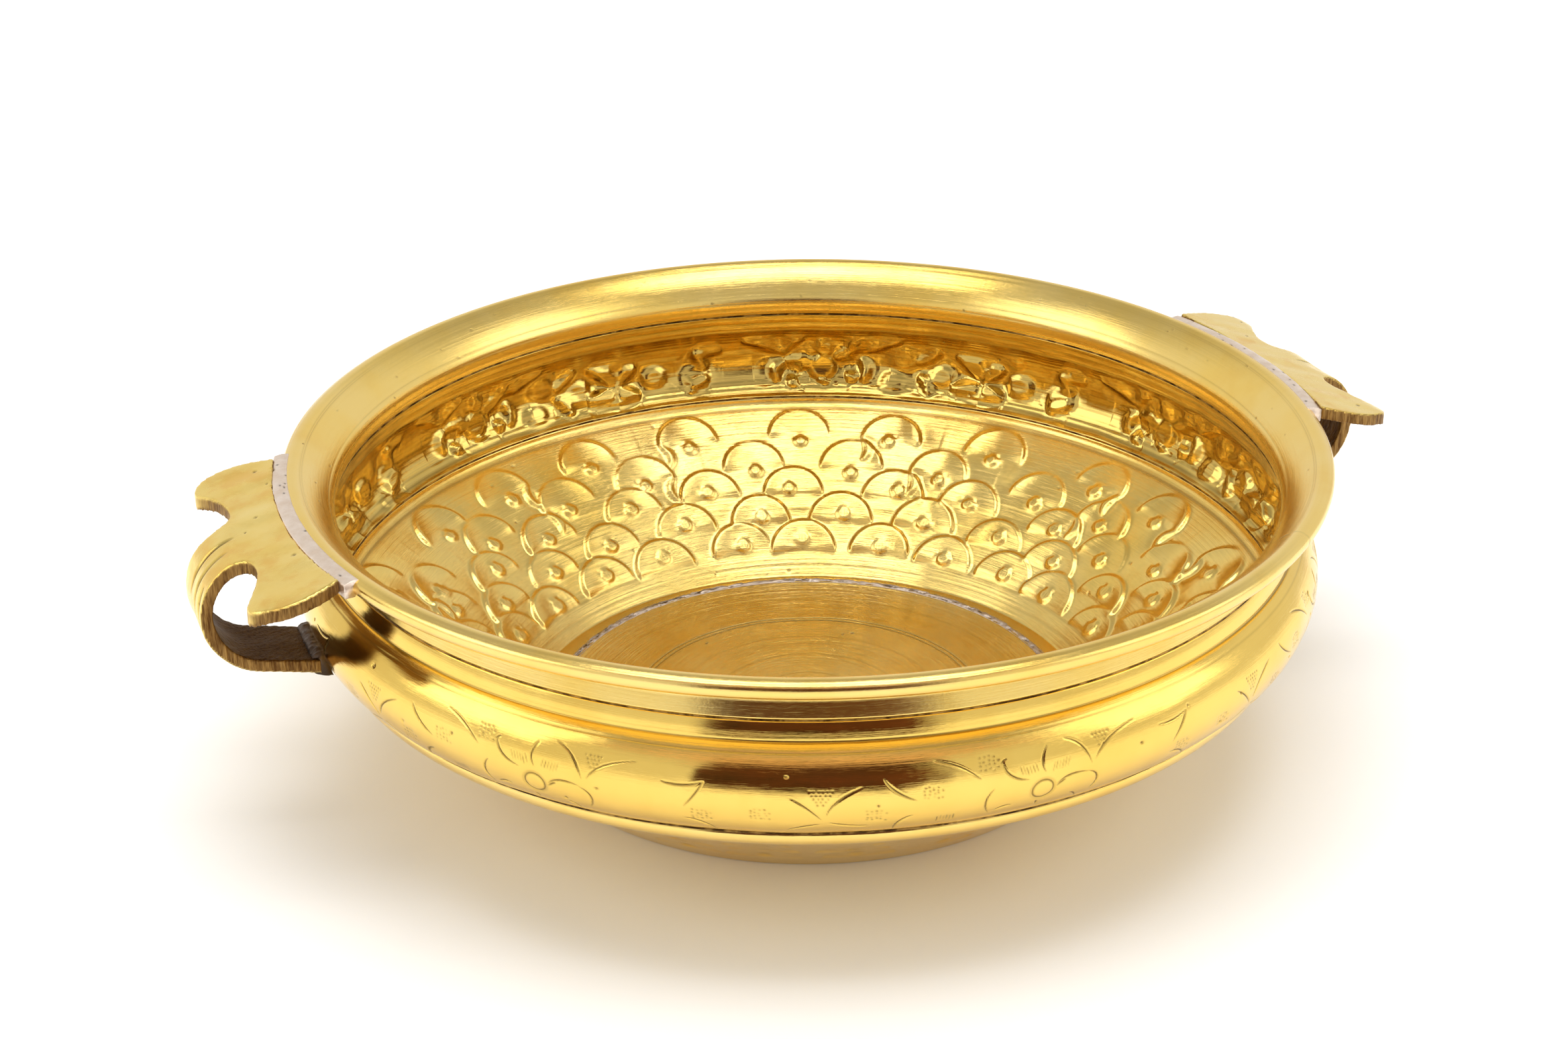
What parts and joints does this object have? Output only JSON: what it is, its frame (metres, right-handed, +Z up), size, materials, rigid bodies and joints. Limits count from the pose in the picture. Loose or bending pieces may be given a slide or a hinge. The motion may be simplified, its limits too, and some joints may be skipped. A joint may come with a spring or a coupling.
{
  "type": "urli bowl",
  "caption": "Wide shallow brass urli with a flared turned rim, an engraved belly, a scale-punched dished floor, a soldered base disc and curled plate handles.",
  "frame": {"origin": "middle of the bowl's footprint, on the surface it stands on", "axes": "+X through the middle of one handle, +Z up"},
  "size_m": [0.358, 0.3, 0.0917],
  "materials": {
    "rim_brass": "satin turned brass with fine concentric lines and light orange stains",
    "wall_brass": "polished brass, lathe lines inside, chased flowers outside",
    "floor_brass": "brushed and polished brass with punched scales",
    "base_brass": "turned brass with fine concentric lines and mottled stains",
    "handle_brass": "polished top, rough brown cut edges and underside",
    "braze": "dark pitted brazing filler",
    "solder": "dull grey soft solder with dark pits"
  },
  "bodies": {
    "root": {"rim_ring": "rim_brass", "wall_band": "wall_brass", "floor_dish": "floor_brass", "base_disc": "base_brass", "rim_braze_seam": "braze", "heel_braze_seam": "braze", "base_solder_ring": "solder", "handle_right": "handle_brass", "handle_left": "handle_brass", "handle_right_rim_solder": "solder", "handle_left_rim_solder": "solder", "handle_right_foot_solder": "solder", "handle_left_foot_solder": "solder"}
  },
  "joints": []
}
